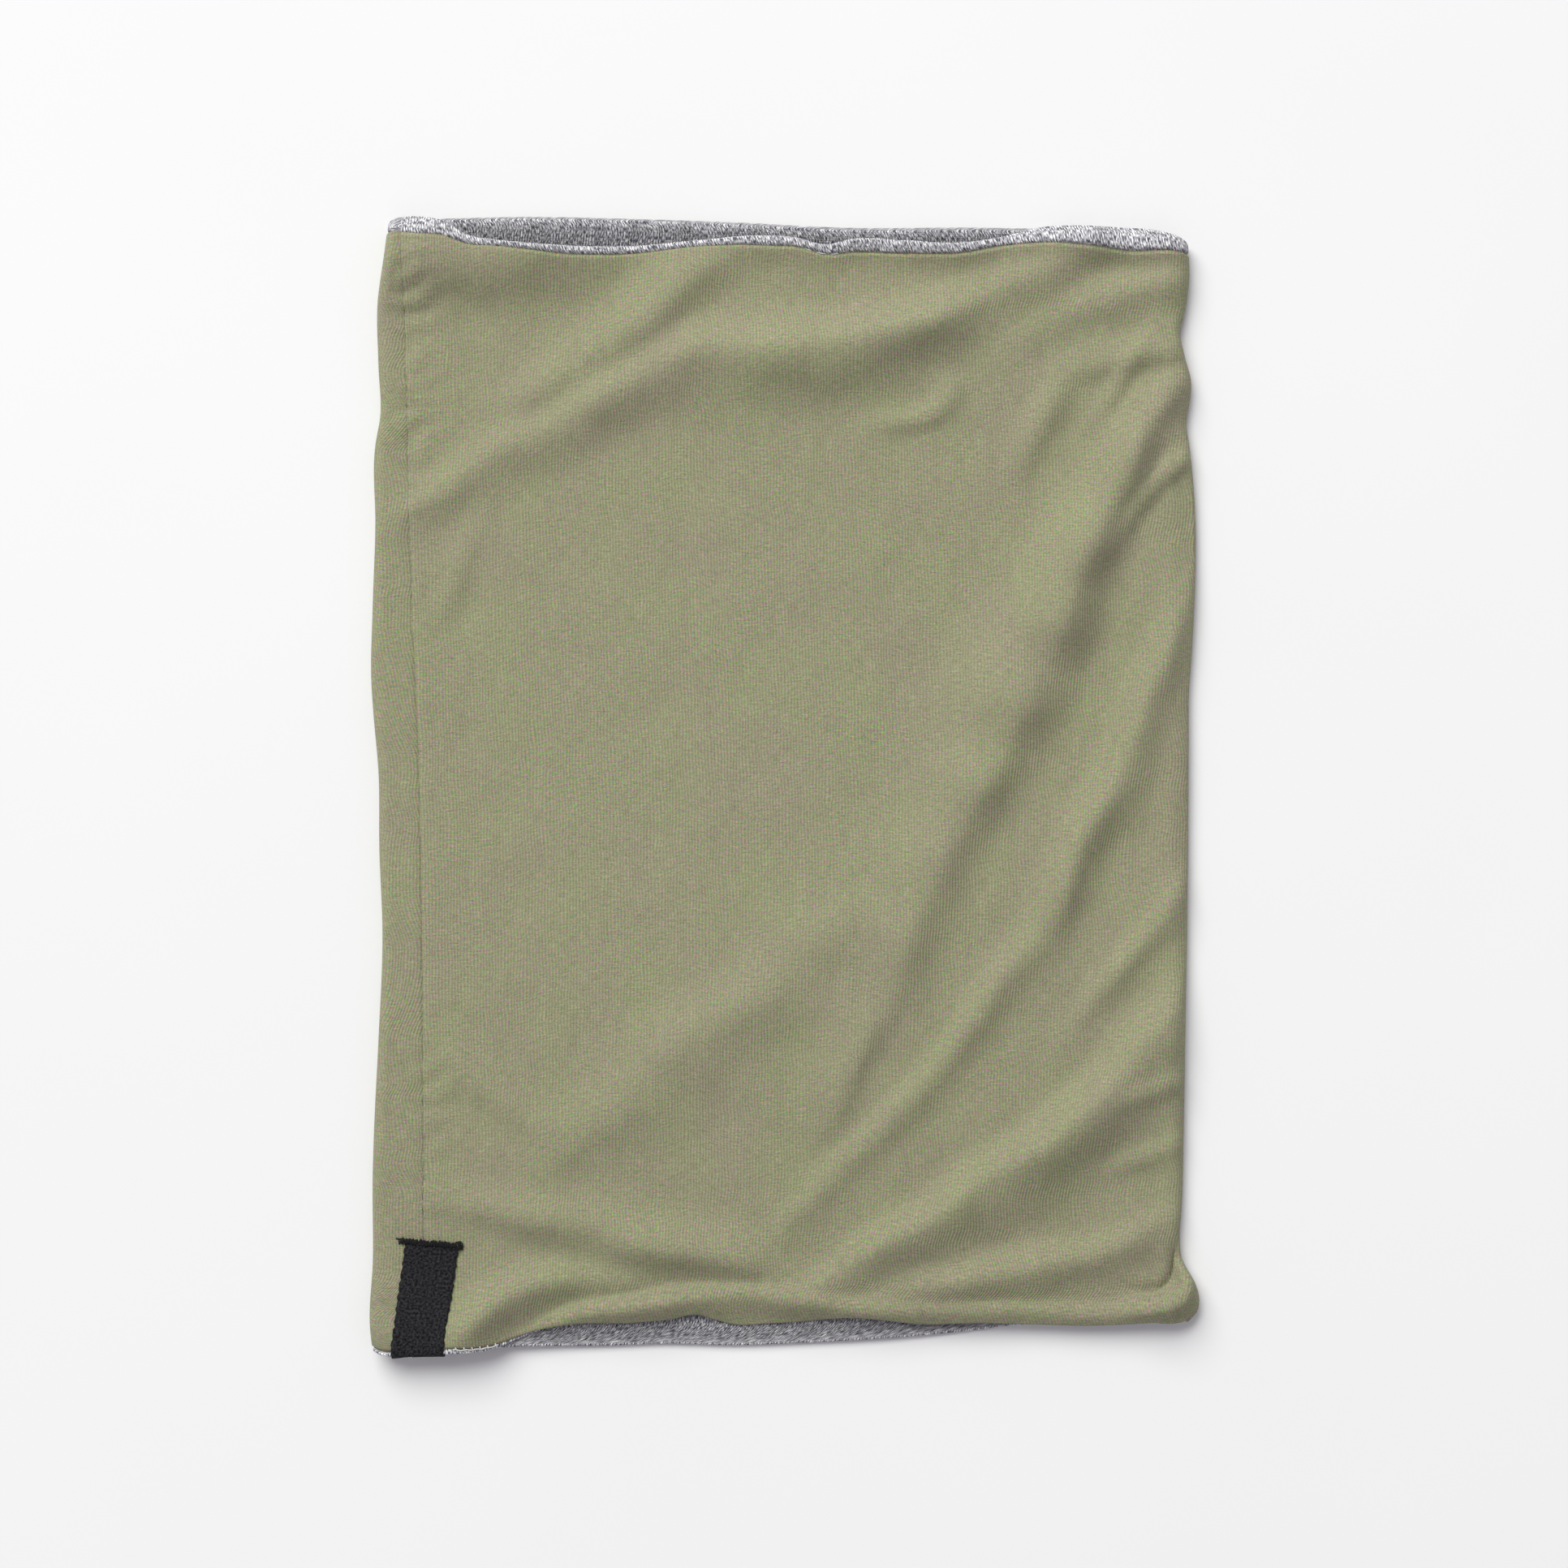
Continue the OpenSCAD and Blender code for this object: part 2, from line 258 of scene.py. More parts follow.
def ridge(x, y, lit, shaded, crest):
    """Height of one fold at points x, y: highest on the crest, and level with the wall at its feet."""
    height = np.zeros_like(x)
    reach = foot * max(*lit, *shaded)
    line = walk(crest)
    near = ((x > line[:, 0].min() - reach) & (x < line[:, 0].max() + reach)
            & (y > line[:, 1].min() - reach) & (y < line[:, 1].max() + reach))
    px, py = x[near], y[near]
    best = np.full(px.shape, np.inf)
    side = np.zeros_like(px)
    along = np.zeros_like(px)
    top = np.zeros_like(px)
    steps = np.hypot(*np.diff(line[:, :2], axis=0).T)
    reached = np.concatenate([[0], np.cumsum(steps)]) / steps.sum()
    for i, span in enumerate(steps):
        ax, ay, ah = line[i]
        dx, dy = (line[i + 1, :2] - line[i, :2]) / span
        t = np.clip(((px - ax) * dx + (py - ay) * dy) / span, 0, 1)
        ox, oy = px - ax - t * span * dx, py - ay - t * span * dy
        away = ox * ox + oy * oy
        closer = away < best
        best = np.where(closer, away, best)
        side = np.where(closer, dx * (py - ay) - dy * (px - ax), side)
        along = np.where(closer, reached[i] + t * (reached[i + 1] - reached[i]), along)
        top = np.where(closer, ah + t * (line[i + 1, 2] - ah), top)
    width_lit = np.interp(along, np.linspace(0, 1, len(lit)), lit)
    width_shaded = np.interp(along, np.linspace(0, 1, len(shaded)), shaded)
    width = width_shaded + (width_lit - width_shaded) * ease(0.5 + side / 2)
    down = np.clip(np.sqrt(best) / (foot * width), 0, 1)
    height[near] = top * (1 - down) ** 4 * (1 + 4 * down)
    return height


def puckers(x, y):
    """Small gathers across the side seam where its thread is tight."""
    away = x - seam_line(y)
    reach = np.exp(-((away - 2) / np.where(away > 2, 8.0, 5.0)) ** 2)
    strength = 0.34 * ease((y - 70) / 20) + 0.22 * ease((-60 - y) / 10) * ease((y + 128) / 8)
    slant = np.where(away > 0, -0.35, -0.12) * away
    wave = np.sin(2 * math.pi * (y + slant) / 7.3 + 1.9 * np.sin(y / 6.1) + 1.4 * np.sin(y / 3.7 + away / 5))
    return strength * reach * wave * (1 + 0.5 * np.sin(y / 5.3))


def waves(x, y, lengths, slope, seed):
    """A sum of sine waves in mixed directions: each has about that slope, whatever its length."""
    rng = np.random.default_rng(seed)
    directions = 3
    total = np.zeros_like(x)
    for length in lengths:
        for _ in range(directions):
            turn, phase = rng.uniform(0, math.pi), rng.uniform(0, 2 * math.pi)
            across = x * math.cos(turn) + y * math.sin(turn)
            total += slope * length / (2 * math.pi) * np.sin(2 * math.pi * across / length + phase)
    return total


def seam_groove(x, y):
    """How deep the side seam pulls the front wall in."""
    away = np.abs(x - seam_line(y))
    tight = 0.22 + 0.36 * ease((62 - y) / 30) * ease((y + 95) / 30)
    narrow = tight * np.exp(-((away / 0.55) ** 2))
    wide = 0.30 * np.exp(-((away / 2.4) ** 2))
    return narrow + wide


def relief(x, y):
    """How far the front wall stands above a plain flat tube."""
    sunk_middle = 1.0 * ease(np.minimum(x + half_width, half_width - x) / 30)
    thin_right_fold = 1.8 * (1 - ease((half_width - x) / 8))
    thin_lower_hem = 1.3 * (1 - ease((y + half_length - 6) / 8)) * ease((x + 92) / 12)
    total = -sunk_middle - thin_right_fold - thin_lower_hem
    # The cloth is never quite flat, in broad waves and in small ones.
    total += waves(x, y, (44, 35, 27, 21, 16), 0.011, 11)
    total += waves(x, y, (12.5, 10.5, 8.5, 7), 0.016, 12)
    # The folds wander off their crest lines, vary in height, and are half as high at the right fold except
    # in its lower corner.
    bent_x = x + waves(x, y, (61, 43, 31, 22), 0.04, 21)
    bent_y = y + waves(x, y, (58, 41, 29, 23), 0.04, 22)
    pressed = 1 - 0.5 * (1 - ease((half_width - x) / 9)) * ease((y + 128) / 8)
    for i, (lit, shaded, crest) in enumerate(FOLDS.values()):
        uneven = 1 + waves(x, y, (37, 26), 0.012, 30 + i)
        total += ridge(bent_x, bent_y, lit, shaded, crest) * uneven * pressed
    total += puckers(x, y)
    return np.maximum(total, lowest_relief)


relief_step = 0.5
relief_start = np.array([-half_width, -half_length]) - 6
relief_x, relief_y = (np.arange(start, -start, relief_step) for start in relief_start)
relief_map = relief(*np.meshgrid(relief_x, relief_y, indexing="ij"))


def relief_at(x, y):
    """The relief read from its map, which is worked out only once."""
    place_x = np.clip((x - relief_start[0]) / relief_step, 0, relief_map.shape[0] - 1.001)
    place_y = np.clip((y - relief_start[1]) / relief_step, 0, relief_map.shape[1] - 1.001)
    i, j = place_x.astype(int), place_y.astype(int)
    a, b = place_x - i, place_y - j
    near = relief_map[i, j] * (1 - b) + relief_map[i, j + 1] * b
    far = relief_map[i + 1, j] * (1 - b) + relief_map[i + 1, j + 1] * b
    return near * (1 - a) + far * a


def corner_lift(x, y):
    """Both walls curl up off the floor at the lower corners, more at the label's."""
    left = 4.2 * np.exp(-(((x + half_width - 16) / 30) ** 2) - ((y + half_length) / 17) ** 2)
    right = 2.4 * np.exp(-(((x - half_width) / 28) ** 2) - ((y + half_length) / 17) ** 2)
    return left + right


def back_lip(x, y):
    """The back wall curls up to its upper hem, behind the opening, and falls a little to its lower hem."""
    upper = 3.2 * ease((y - half_length + 14) / 12) * ease((x + 112) / 14) * ease((90 - x) / 40)
    lower = 2.2 * ease((y + half_length - 1) / 9) * (1 - ease((y + half_length - 12) / 20))
    return upper + lower * ease((x + 95) / 20) * ease((60 - x) / 40)


# ---------------------------------------------------------------- the wall as a surface
# loop runs round the tube in mm of cloth: 0 at the side seam, then right across the front, back across the
# back, and across the strip between the left fold and the seam. up runs from 0 at the lower hem to 1.


def place_on_loop(loop):
    """(distance from the left fold along the cloth, whether on the back) for each place on the loop."""
    loop = np.mod(loop, loop_span)
    right = front_span - seam_nominal
    back = (loop > right) & (loop < right + front_span)
    across = np.where(loop <= right, loop + seam_nominal,
                      np.where(back, right + front_span - loop, loop - right - front_span))
    return across, back


def left_edge(y):
    """x of the left fold, at the middle of the wall."""
    return -half_width - left_wander(y) + half_wall


def right_edge(y):
    """x of the right fold, at the middle of the wall."""
    return half_width + right_wander(y) - half_wall


def column_x(across, y, back):
    """x of the cloth that lies at that distance from the left fold."""
    left, right, seam = left_edge(y), right_edge(y), seam_line(y)
    before = left + (seam - left) * across / seam_nominal
    after = seam + (right - seam) * (across - seam_nominal) / (front_span - seam_nominal)
    plain = left + (right - left) * across / front_span
    return np.where(back, plain, np.where(across < seam_nominal, before, after))


def hem_x(across, back):
    """(x at the lower hem, x at the upper hem) of the cloth at that distance from the left fold."""
    low_x = column_x(across, np.full_like(across, 6 - half_length), back)
    high_x = column_x(across, np.full_like(across, half_length - 4), back)
    return low_x, high_x


def hem_y(across, back):
    """(y of the lower hem, y of the upper hem), at the middle of the wall."""
    low_x, high_x = hem_x(across, back)
    low = -half_length + half_wall - np.where(back, lower_back(low_x), lower_front(low_x))
    high = half_length - half_wall + np.where(back, upper_back(high_x), upper_front(high_x))
    return low, high


def wall(loop, up, grooved=True):
    """Points on the middle of the wall, with the side seam's groove or without it."""
    across, back = place_on_loop(loop)
    low, high = hem_y(across, back)
    y = low + (high - low) * up
    x = column_x(across, y, back)
    inward = np.minimum(x - left_edge(y), right_edge(y) - x)
    arc = np.sqrt(1 - (1 - np.clip(inward / fold_radius, 0, 1)) ** 2)
    z = half_wall + corner_lift(x, y) + fold_radius * np.where(back, 1 - arc, 1 + arc)
    height = np.where(back, back_lip(x, y), relief_at(x, y))
    if grooved:
        height = height - np.where(back, 0, seam_groove(x, y))
    return np.stack([x, y, z + arc * height], axis=-1)


# ---------------------------------------------------------------- making meshes


def wall_frame(loop, up, grooved=True):
    """Points on the wall, their outward normals, and their directions towards the upper hem."""
    aside, above = 0.04, 2e-4  # small steps along the loop and up
    point = wall(loop, up, grooved)
    around = wall(loop + aside, up, grooved) - wall(loop - aside, up, grooved)
    rising = wall(loop, up + above, grooved) - point
    rising /= np.linalg.norm(rising, axis=-1, keepdims=True)
    outward = np.cross(around, rising)
    outward /= np.linalg.norm(outward, axis=-1, keepdims=True)
    return point, outward, rising


def on_layer(loop, upper, run, radius):
    """Points of a layer near a hem. run is the distance along the layer from where the hem's turn begins:
    above 0 on the outside of the tube, then round the turn, then up the inside. radius is how far they are
    from the middle of the wall."""
    turn = np.clip(-run / layer_offset, 0, math.pi)
    flat = np.where(run > 0, run, np.maximum(-run - math.pi * layer_offset, 0))
    low, high = hem_y(*place_on_loop(loop))
    share = flat / (high - low)
    point, outward, rising = wall_frame(loop, np.where(upper, 1 - share, share))
    past_hem = np.where(upper, 1.0, -1.0) * radius * np.sin(turn)
    return point + outward * (radius * np.cos(turn))[..., None] + rising * past_hem[..., None]


def spread(stops):
    """Places between stops. Each stop is (place, about how far apart the places after it are)."""
    out = []
    for (start, step), (end, _) in zip(stops[:-1], stops[1:]):
        count = max(1, round((end - start) / step))
        out += list(np.linspace(start, end, count, endpoint=False))
    return np.array(out + [stops[-1][0]])


def loop_columns():
    """Places round the tube for a mesh's columns, close together on the side folds and at the side seam."""
    arc = fold_radius * (1 - np.cos(np.linspace(0, math.pi / 2, 7)))
    left = spread([(fold_radius, 0.9), (seam_nominal - 1.2, 0.22), (seam_nominal, 1)])
    right = spread([(seam_nominal, 0.22), (seam_nominal + 1.2, 1.2), (34, 1.9), (204, 1.2), (220, 0.8),
                    (front_span - fold_radius, 1)])
    back = spread([(fold_radius, 4.2), (front_span - fold_radius, 1)])
    right_fold = front_span - arc[::-1]
    front_part = np.concatenate([right[:-1], right_fold[:-1]]) - seam_nominal
    back_across = np.concatenate([front_span - arc[:-1], back[::-1], arc[::-1][1:-1]])
    back_part = front_span - seam_nominal + front_span - back_across
    strip = np.concatenate([arc[:-1], left[:-1]]) + loop_span - seam_nominal
    return np.concatenate([front_part, back_part, strip])


def closed_sheet(name, outer, inner, uv, wrapped):
    """A mesh with two skins, each a grid of rows and columns of points, closed along its edges. uv is the
    place on the flat cloth in mm, with one column more than the points if the grid is wrapped round."""
    rows, columns = outer.shape[:2]
    count = rows * columns
    across = columns if wrapped else columns - 1
    r, c = np.meshgrid(np.arange(rows - 1), np.arange(across), indexing="ij")
    corner_rows = np.stack([r, r, r + 1, r + 1], -1).reshape(-1, 4)
    corner_columns = np.stack([c, c + 1, c + 1, c], -1).reshape(-1, 4)

    def face(row, column, skin):
        return skin * count + row * columns + column % columns

    faces = [face(corner_rows, corner_columns, 0), face(corner_rows, corner_columns, 1)[:, ::-1]]
    uvs = [uv[corner_rows, corner_columns], uv[corner_rows, corner_columns][:, ::-1]]
    i = np.arange(across)
    for row in (0, rows - 1):
        rim = np.stack([face(row, i, 0), face(row, i, 1), face(row, i + 1, 1), face(row, i + 1, 0)], -1)
        place = np.stack([uv[row, i], uv[row, i], uv[row, i + 1], uv[row, i + 1]], 1)
        faces.append(rim if row == 0 else rim[:, ::-1])
        uvs.append(place if row == 0 else place[:, ::-1])
    if not wrapped:
        j = np.arange(rows - 1)
        for column in (0, columns - 1):
            rim = np.stack([face(j, column, 0), face(j + 1, column, 0), face(j + 1, column, 1),
                            face(j, column, 1)], -1)
            place = np.stack([uv[j, column], uv[j + 1, column], uv[j + 1, column], uv[j, column]], 1)
            faces.append(rim if column == 0 else rim[:, ::-1])
            uvs.append(place if column == 0 else place[:, ::-1])
    points = np.concatenate([outer.reshape(-1, 3), inner.reshape(-1, 3)])
    return make_mesh(name, points, np.concatenate(faces).tolist(), np.concatenate(uvs))


def make_mesh(name, points, faces, uvs=None):
    """An object from points in mm and faces, and for cloth the place of each face's corners when flat."""
    mesh = bpy.data.meshes.new(name)
    mesh.from_pydata((points * MM).tolist(), [], faces)
    mesh.update()
    mesh.polygons.foreach_set("use_smooth", np.ones(len(faces), bool))
    if uvs is not None:
        layer = mesh.uv_layers.new(name="cloth")
        layer.data.foreach_set("uv", (uvs * MM).astype(np.float32).ravel())
    obj = bpy.data.objects.new(name, mesh)
    bpy.context.scene.collection.objects.link(obj)
    return obj


def loop_lengths(points):
    """The distance round each row of a wrapped grid to each of its points, with the whole loop last."""
    ring = np.concatenate([points, points[:, :1]], 1)
    steps = np.linalg.norm(np.diff(ring, axis=1), axis=-1)
    return np.concatenate([np.zeros((len(points), 1)), np.cumsum(steps, 1)], 1)


def rims(loop):
    """How wide the lining shows at (the lower hem, the upper hem), for each place on the loop."""
    across, back = place_on_loop(loop)
    low_x, high_x = hem_x(across, back)
    low, high = lower_rim(low_x), upper_rim(high_x)
    share = np.where(back, ease(np.minimum(across, front_span - across) / 9), 0)
    return low + (back_rim - low) * share, high + (back_rim - high) * share


def tucked(radius, away):
    """A layer's radius at that distance from its end, which turns in where the two layers are joined."""
    return radius - 0.75 * (1 - ease(away)) ** 2


def layer_skins(loop, upper, run, edge):
    """The outer and the inner face of a layer. edge is the distance from the layer's nearer end."""
    return [on_layer(loop, upper, run, tucked(layer_offset + side * cloth / 2, edge)) for side in (1, -1)]


def wrapped_layer(name, skins, t):
    """A layer as one closed mesh. t is how far each of its points is along the cloth from the lower end."""
    s = loop_lengths((skins[0] + skins[1]) / 2)
    t = np.concatenate([t, t[:, :1]], 1)
    return closed_sheet(name, skins[0], skins[1], np.stack([s, t], -1), True)


def outer_layer():
    """The sage tube, from its joint at the lower hem to its joint at the upper hem."""
    loop = loop_columns()
    low_rim, high_rim = rims(loop)
    low, high = hem_y(*place_on_loop(loop))
    length = 317.2  # about that of the sage cloth: rows are spread along it, then fitted to each column
    near = np.array([0, 0.2, 0.45, 0.75, 1.1, 1.6, 2.3])
    middle = spread([(3.2, 1.15), (32, 1.75), (296, 1.3), (314, 1)])
    part = np.concatenate([near, middle, length - near[::-1]]) / length
    visible = (high - low - low_rim - high_rim)[None]
    run = visible * part[:, None]
    left = visible - run
    upper = np.broadcast_to((part > 0.5)[:, None], run.shape)
    place = np.where(upper, left + high_rim, run + low_rim)
    edge = np.minimum(run, left)
    around = np.broadcast_to(loop, run.shape)
    skins = layer_skins(around, upper, place, edge)
    return wrapped_layer("sage_outer_tube", skins, run)


def inner_layer():
    """The grey tube, from the lower joint round the hem, up the inside, and round to the upper joint."""
    loop = loop_columns()
    low_rim, high_rim = rims(loop)
    low, high = hem_y(*place_on_loop(loop))
    turned = math.pi * layer_offset  # length of the turn round the hem
    steps = 1 - (1 - np.linspace(0, 1, 15)) ** 1.6
    length = 323.2  # about that of the cloth between the two turns
    inside = spread([(1.2, 1.3), (22, 4.0), (300, 1.3), (322, 1)]) / length
    rows, upper, t = [], [], []
    for part in steps:
        rows.append(low_rim - (low_rim + turned) * part)
        upper.append(False)
        t.append((low_rim + turned) * (part - 1))
    for part in inside:
        up = part > 0.5
        rows.append(-turned - (high - low) * (1 - part if up else part))
        upper.append(up)
        t.append(np.full_like(loop, 2 * half_length * part))
    for part in steps[::-1]:
        rows.append(high_rim - (high_rim + turned) * part)
        upper.append(True)
        t.append(2 * half_length + (high_rim + turned) * (1 - part))
    place, t = np.array(rows), np.array(t)
    upper = np.broadcast_to(np.array(upper)[:, None], place.shape)
    edge = np.minimum(t - t[:1], t[-1:] - t)
    around = np.broadcast_to(loop, place.shape)
    skins = layer_skins(around, upper, place, edge)
    return wrapped_layer("grey_inner_tube", skins, t)


# ---------------------------------------------------------------- label and threads


def loop_at(x, y):
    """The place (loop, up) on the front wall that has these x and y."""
    left, right, seam = left_edge(y), right_edge(y), seam_line(y)
    across = np.where(x < seam, (x - left) / (seam - left) * seam_nominal,
                      seam_nominal + (x - seam) / (right - seam) * (front_span - seam_nominal))
    low, high = hem_y(across, np.zeros(across.shape, bool))
    return np.mod(across - seam_nominal, loop_span), (y - low) / (high - low)


def on_front(x, y, lift):
    """Points over the front wall, lift mm above the sage cloth."""
    x, y = np.broadcast_arrays(np.asarray(x, float), np.asarray(y, float))
    point, outward, _ = wall_frame(*loop_at(x, y), grooved=False)
    return point + outward * (half_wall + np.broadcast_to(lift, x.shape))[..., None]


def label():
    """The black tape: down the front, round the lower hem and up the inside, with selvedges that waver."""
    width, tape, clearance = 15.7, 0.5, 0.12
    inside_length = 18
    columns = 17
    top_x, bottom_x = -103.8, -107.5
    top_y = label_top - 1.2
    front_length = top_y + half_length - half_wall
    down = np.linspace(0, 1, 38)[:, None]
    turn = np.linspace(0, math.pi, 13)[1:, None, None]
    inside = np.linspace(0, inside_length, 14)[1:, None]
    across = np.linspace(-0.5, 0.5, columns)[None]
    y = top_y - front_length * down
    centre = top_x + (bottom_x - top_x) * down
    waver = 0.16 * np.sin(y * 1.9) + 0.12 * np.sin(y * 4.3 + 1)
    x = centre + across * width + 2 * across * waver
    y = y - 0.07 * (x - centre) * (1 - down)
    turn_x = bottom_x + across * width
    loop, _ = loop_at(turn_x, np.full_like(turn_x, half_wall + 0.4 - half_length))
    low, high = hem_y(*place_on_loop(loop))
    at_hem, outward, rising = wall_frame(loop, np.zeros_like(loop), grooved=False)
    under, under_out, _ = wall_frame(np.broadcast_to(loop, (len(inside), columns)), inside / (high - low))
    skins = []
    for lift in (clearance + tape, clearance):
        radius = half_wall + lift
        rounded = at_hem + radius * (outward * np.cos(turn) - rising * np.sin(turn))
        skins.append(np.concatenate([on_front(x, y, lift), rounded, under - under_out * radius]))
    s = np.broadcast_to(across * width, skins[0].shape[:2])
    middle = skins[0][:, columns // 2]
    t = np.cumsum(np.linalg.norm(np.diff(middle, axis=0, prepend=middle[:1]), axis=-1))
    uv = np.stack([s, np.broadcast_to(t[:, None], s.shape)], -1)
    return closed_sheet("label_tape", skins[0], skins[1], uv, False)


def tube(points, radius, sides=6):
    """Points and faces of a thread that follows a line of points, with closed ends."""
    ahead = np.gradient(points, axis=0)
    ahead /= np.linalg.norm(ahead, axis=1, keepdims=True)
    helper = np.where(np.abs(ahead[:, 2:]) > 0.8, [[1.0, 0, 0]], [[0, 0, 1.0]])
    sideways = np.cross(ahead, helper)
    sideways /= np.linalg.norm(sideways, axis=1, keepdims=True)
    upward = np.cross(sideways, ahead)
    angle = np.arange(sides) * 2 * math.pi / sides
    ring = np.cos(angle)[None, :, None] * sideways[:, None] + np.sin(angle)[None, :, None] * upward[:, None]
    body = points[:, None] + ring * radius
    verts = np.concatenate([body.reshape(-1, 3), points[:1], points[-1:]])
    i, j = np.meshgrid(np.arange(len(points) - 1), np.arange(sides), indexing="ij")
    k = (j + 1) % sides
    corners = [i * sides + j, i * sides + k, (i + 1) * sides + k, (i + 1) * sides + j]
    walls = np.stack(corners, -1).reshape(-1, 4)
    j = np.arange(sides)
    k = (j + 1) % sides
    first, last = len(points) * sides, len(points) * sides + 1
    end = (len(points) - 1) * sides
    caps = [[first, b, a] for a, b in zip(j, k)] + [[last, end + a, end + b] for a, b in zip(j, k)]
    return verts, walls.tolist() + caps


def thread_piece(name, lines, radius):
    """One object from several threads that follow lines."""
    points, faces, count = [], [], 0
    for line in lines:
        verts, found = tube(line, radius)
        points.append(verts)
        faces += [[count + i for i in f] for f in found]
        count += len(verts)
    return make_mesh(name, np.concatenate(points), faces)


def seam_stitches(name, side):
    """Straight stitches down the side seam, outside (side 1) or inside (side -1) the tube."""
    pitch, covered = 4.0, 2.9
    arch = np.sin(np.linspace(0, math.pi, 7))
    first = label_top + 1.5 if side > 0 else 12 - half_length
    starts = np.arange(first, half_length - 10, pitch)
    y = starts[:, None] + np.linspace(0, covered, 7)
    low, high = hem_y(np.full(y.shape, seam_nominal), np.zeros(y.shape, bool))
    point, outward, _ = wall_frame(np.zeros(y.shape), (y - low) / (high - low))
    lines = point + outward * (side * (half_wall - 0.3 + 0.32 * arch))[:, None]
    return thread_piece(name, lines, radius=0.2)


def hem_stitches(name, upper):
    """The thread in the joint along a hem, in short stitches that show where the joint opens."""
    pitch, covered = 4.0, 2.6
    arch = np.sin(np.linspace(0, math.pi, 6))
    loop = np.arange(0.5, loop_span - 3, pitch)[:, None] + np.linspace(0, covered, 6)
    rim = rims(loop)[1 if upper else 0]
    open_joint = np.exp(-(((loop - front_span / 2 - 3) / 6) ** 2))
    radius = half_wall - 1.35 + 0.3 * arch + 0.75 * open_joint
    lines = on_layer(loop, np.full(loop.shape, upper), rim, radius)
    return thread_piece(name, lines, radius=0.19)


def closing_stitches(name):
    """The white thread that closes the last gap of the lower hem, beside the label."""
    x = np.linspace(closing_low[0], closing_high[0], 60)
    loop, _ = loop_at(x, np.full_like(x, 2 - half_length))
    rim = rims(loop)[0]
    sway = 0.12 * np.sin(x * 2.2)
    laid = on_layer(loop, np.zeros(60, bool), rim + sway, half_wall + 0.1 + 0.05 * np.sin(x * 3.1))
    arch = np.sin(np.linspace(0, math.pi, 6))
    x = np.arange(closing_low[0] + 0.8, closing_high[0] - 0.8, 2.2)[:, None] + np.linspace(0, 0.5, 6)
    loop, _ = loop_at(x, np.full_like(x, 2 - half_length))
    run = rims(loop)[0] + np.linspace(0.7, -0.9, 6)
    bites = on_layer(loop, np.zeros(loop.shape, bool), run, half_wall - 0.15 + 0.3 * arch)
    return thread_piece(name, [laid, *bites], radius=0.2)


# Loose ends of the label's tack: x and y of the start and of the end, and how high the thread rises.
LOOSE_ENDS = [
    (-111.8, -134.2, -114.0, -133.5, 0.4), (-112.0, -133.9, -113.6, -133.7, 0.6),
    (-112.2, -133.6, -113.2, -135.2, 0.7), (-111.8, -134.6, -113.4, -134.4, 0.5),
    (-95.4, -135.2, -94.4, -136.2, 0.7), (-95.6, -136.0, -94.5, -137.0, 0.5),
    (-96.2, -136.4, -94.7, -136.8, 0.9), (-95.2, -135.2, -94.6, -136.6, 0.9),
]


def tack_line(count, rng, roughness):
    """Zigzag points along the label's top edge as (x, y), with an uneven bite that is wider at the right."""
    left_x, left_y, length, drop = -112.5, -134.3, 17.3, 1.7
    along = np.linspace(0, 1, count)
    x = left_x + length * along + rng.normal(0, 0.18 * roughness, count)
    middle = left_y - drop * along
    half = 0.95 + 0.5 * ease((along - 0.88) / 0.1)
    y = middle + np.where(np.arange(count) % 2, half, -half) + rng.normal(0, 0.16 * roughness, count)
    return x, y


def tack(name):
    """The dense black zigzag that holds the label's top edge, with loose ends at both sides."""
    rng = np.random.default_rng(5)
    lines = []
    for turns in (44, 37, 30):
        x, y = tack_line(turns, rng, 1.0)
        fine = np.linspace(0, turns - 1, turns * 4)
        x, y = np.interp(fine, np.arange(turns), x), np.interp(fine, np.arange(turns), y)
        lift = 0.75 + 0.28 * np.abs(np.sin(fine * math.pi / 2)) + rng.normal(0, 0.05, len(fine))
        lines.append(on_front(x, y, lift))
    for start_x, start_y, end_x, end_y, rise in LOOSE_ENDS:
        t = np.linspace(0, 1, 9)
        x = start_x + (end_x - start_x) * t + 0.25 * np.sin(t * 5)
        y = start_y + (end_y - start_y) * t + 0.25 * np.sin(t * 4 + 1)
        lines.append(on_front(x, y, 0.15 + rise * np.sin(math.pi * (0.35 + 0.65 * t))))
    return thread_piece(name, lines, radius=0.2)


def tack_inside(name):
    """The other side of the same zigzag, on the lining."""
    rng = np.random.default_rng(6)
    turns = 36
    x, y = tack_line(turns, rng, 0.6)
    fine = np.linspace(0, turns - 1, 140)
    x, y = np.interp(fine, np.arange(turns), x), np.interp(fine, np.arange(turns), y)
    point, outward, _ = wall_frame(*loop_at(x, y))
    return thread_piece(name, [point - outward * (half_wall + 0.15)], radius=0.2)


# ---------------------------------------------------------------- materials


